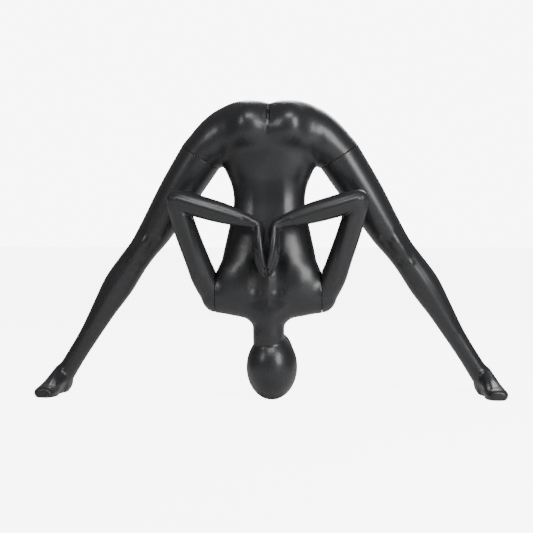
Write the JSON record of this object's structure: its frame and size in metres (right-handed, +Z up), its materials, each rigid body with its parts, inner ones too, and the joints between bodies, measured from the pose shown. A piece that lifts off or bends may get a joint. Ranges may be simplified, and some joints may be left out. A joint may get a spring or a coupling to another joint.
{
  "type": "full body mannequin",
  "caption": "Satin black full body display mannequin in a wide-legged forward fold, hands in reverse prayer behind the back; the arms and legs pull off for dressing.",
  "frame": {"origin": "on the floor under the middle of the bounding box", "axes": "+Z up, -Y the way the toes point and the side that the back of the torso faces, +X the figure's own left"},
  "size_m": [1.4484, 0.3742, 0.902],
  "materials": {
    "skin": "satin black gelcoat over glass-fibre laminate",
    "laminate": "raw glass-fibre laminate",
    "ply": "sealed birch plywood",
    "steel": "zinc plated",
    "screws": "yellow passivated zinc",
    "magnet": "nickel plated"
  },
  "bodies": {
    "torso": {"head_shell": "skin", "left_arm_sleeve": "steel", "left_arm_socket_board": "ply", "left_arm_socket_magnets": "magnet", "left_arm_socket_plate": "steel", "left_arm_socket_screws": "screws", "left_leg_sleeve": "steel", "left_leg_socket_board": "ply", "left_leg_socket_plate": "steel", "left_leg_socket_screws": "screws", "neck_collar": "laminate", "right_arm_sleeve": "steel", "right_arm_socket_board": "ply", "right_arm_socket_magnets": "magnet", "right_arm_socket_plate": "steel", "right_arm_socket_screws": "screws", "right_leg_sleeve": "steel", "right_leg_socket_board": "ply", "right_leg_socket_plate": "steel", "right_leg_socket_screws": "screws", "torso_shell": "skin"},
    "left_leg": {"left_floor_socket": "steel", "left_leg_board": "ply", "left_leg_shell": "skin", "left_leg_tongue": "steel", "left_leg_tongue_plate": "steel", "left_leg_tongue_screws": "screws"},
    "left_arm": {"left_arm_board": "ply", "left_arm_magnets": "magnet", "left_arm_shell": "skin", "left_arm_tongue": "steel", "left_arm_tongue_plate": "steel", "left_arm_tongue_screws": "screws", "left_hand": "skin"},
    "right_leg": {"right_floor_socket": "steel", "right_leg_board": "ply", "right_leg_shell": "skin", "right_leg_tongue": "steel", "right_leg_tongue_plate": "steel", "right_leg_tongue_screws": "screws"},
    "right_arm": {"right_arm_board": "ply", "right_arm_magnets": "magnet", "right_arm_shell": "skin", "right_arm_tongue": "steel", "right_arm_tongue_plate": "steel", "right_arm_tongue_screws": "screws", "right_hand": "skin"}
  },
  "joints": [
    {"name": "left_leg_pull", "type": "slide", "parent": "torso", "child": "left_leg", "axis": [0.5416, 0.1083, -0.8336], "range_m": [0, 0.09]},
    {"name": "left_arm_pull", "type": "slide", "parent": "torso", "child": "left_arm", "axis": [1, 0, 0], "range_m": [0, 0.07]},
    {"name": "right_leg_pull", "type": "slide", "parent": "torso", "child": "right_leg", "axis": [-0.5416, 0.1083, -0.8336], "range_m": [0, 0.09]},
    {"name": "right_arm_pull", "type": "slide", "parent": "torso", "child": "right_arm", "axis": [-1, 0, 0], "range_m": [0, 0.07]}
  ]
}
